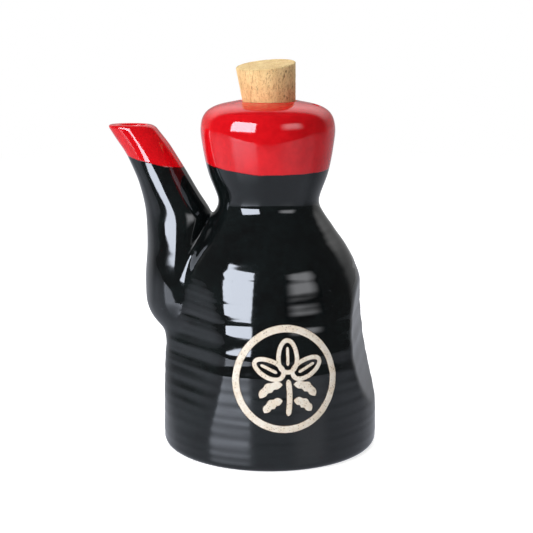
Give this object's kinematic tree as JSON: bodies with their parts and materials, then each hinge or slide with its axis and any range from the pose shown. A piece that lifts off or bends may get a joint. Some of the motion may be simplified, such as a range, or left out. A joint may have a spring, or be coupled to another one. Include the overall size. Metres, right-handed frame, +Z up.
{
  "type": "soy sauce cruet",
  "caption": "Hand-thrown glazed stoneware cruet for soy sauce, with a side spout, a dented belly, a round red head and a cork in its filler hole.",
  "frame": {"origin": "centre of the flat base, on the axis that the body is turned about", "axes": "+Z up along the body's axis, -X toward the spout, -Y toward the side with the ring"},
  "size_m": [0.0874, 0.07, 0.1247],
  "materials": {
    "black_glaze": "glossy black glaze, with a glossy red glaze on the head and the spout tip and a bare cream ring on the front",
    "cork_bark": "matt natural cork"
  },
  "bodies": {
    "root": {"ceramic_body": "black_glaze", "cork": "cork_bark"}
  },
  "joints": []
}
